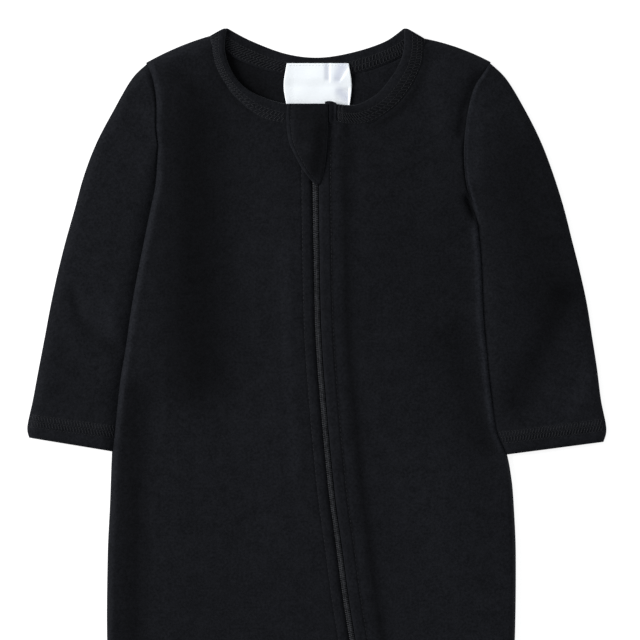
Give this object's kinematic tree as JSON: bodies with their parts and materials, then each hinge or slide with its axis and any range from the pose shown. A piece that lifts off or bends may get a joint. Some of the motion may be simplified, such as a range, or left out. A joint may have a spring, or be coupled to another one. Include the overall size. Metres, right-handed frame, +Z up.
{
  "type": "footed baby sleepsuit",
  "caption": "Long-sleeved footed baby sleepsuit laid flat face up, with a round banded neck and a curved front zip under a petal chin guard.",
  "frame": {"origin": "middle of the suit's length and width, on the surface it lies on", "axes": "+Y runs from the feet to the neck, +X to the viewer's right, +Z up out of the surface, through the front"},
  "size_m": [0.3585, 0.6388, 0.0114],
  "materials": {
    "jersey": "near-black cotton interlock, matt with a soft nap",
    "band": "near-black folded cotton band, matt",
    "zip_tape": "black woven zip tape",
    "zip_coil": "dark grey nylon coil",
    "zip_metal": "black painted zinc",
    "label_satin": "white satin, bare"
  },
  "bodies": {
    "root": {"back": "jersey", "front_left": "jersey", "front_right": "jersey", "sleeve_left": "jersey", "sleeve_right": "jersey", "foot_top_left": "jersey", "foot_top_right": "jersey", "foot_sole_left": "jersey", "foot_sole_right": "jersey", "neckband_left": "band", "neckband_right": "band", "neckband_back": "band", "chin_guard": "jersey", "zip_tape_left": "zip_tape", "zip_tape_right": "zip_tape", "zip_coil": "zip_coil", "zip_slider": "zip_metal", "zip_pull": "zip_metal", "zip_bottom_stop": "zip_metal", "label": "label_satin"}
  },
  "joints": []
}
